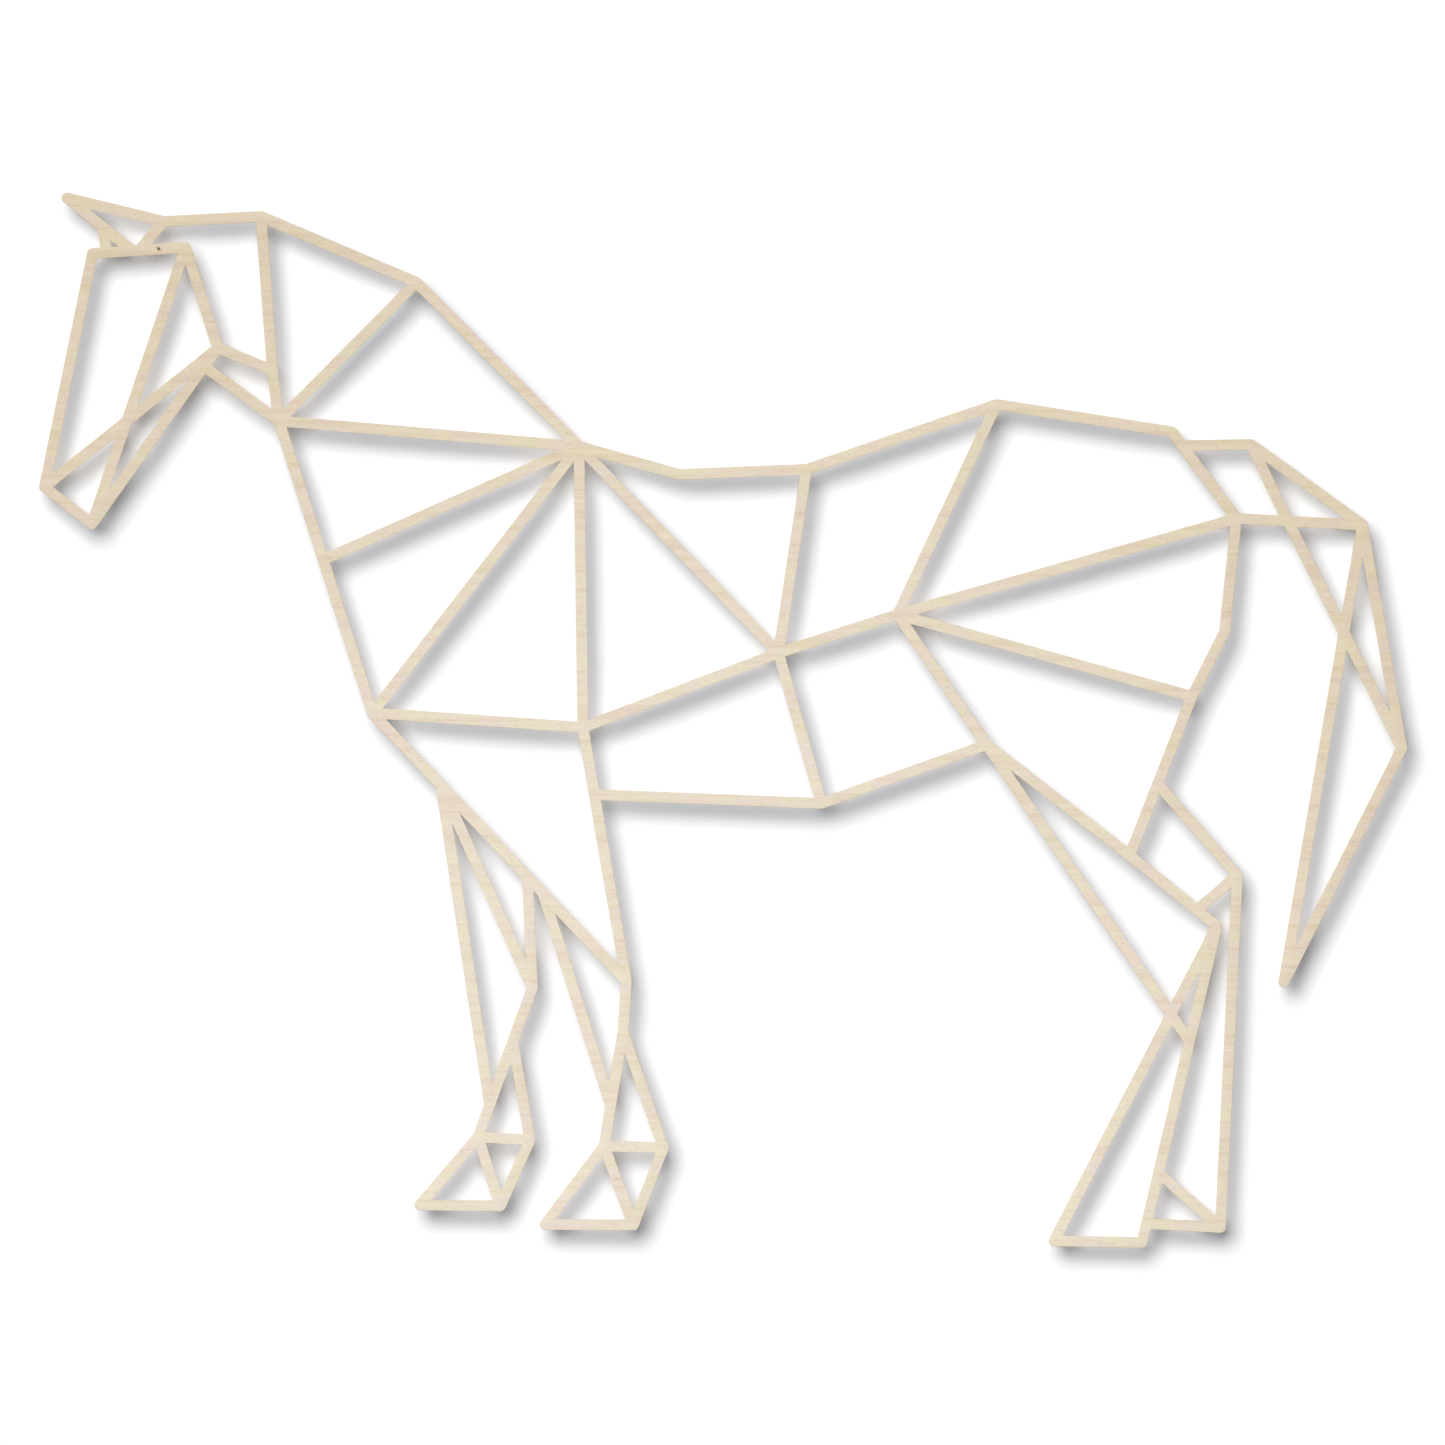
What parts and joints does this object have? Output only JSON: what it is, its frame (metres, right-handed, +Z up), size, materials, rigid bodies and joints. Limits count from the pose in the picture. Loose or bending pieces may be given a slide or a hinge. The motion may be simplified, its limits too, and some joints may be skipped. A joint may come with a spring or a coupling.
{
  "type": "geometric horse wall decoration",
  "caption": "Flat standing horse in side view, a lattice of straight bars of one width, cut in one piece from a thin sheet of light plywood to hang on a wall.",
  "frame": {"origin": "on the flat back of the sheet, in the middle of the joint at the withers, where the panel is held to the wall", "axes": "+Y out of the back, towards the wall; the horse faces -X; +Z up"},
  "size_m": [0.6, 0.004, 0.4628],
  "materials": {
    "birch_plywood": "bare sanded birch veneer, matt"
  },
  "bodies": {
    "root": {"horse_panel": "birch_plywood"}
  },
  "joints": []
}
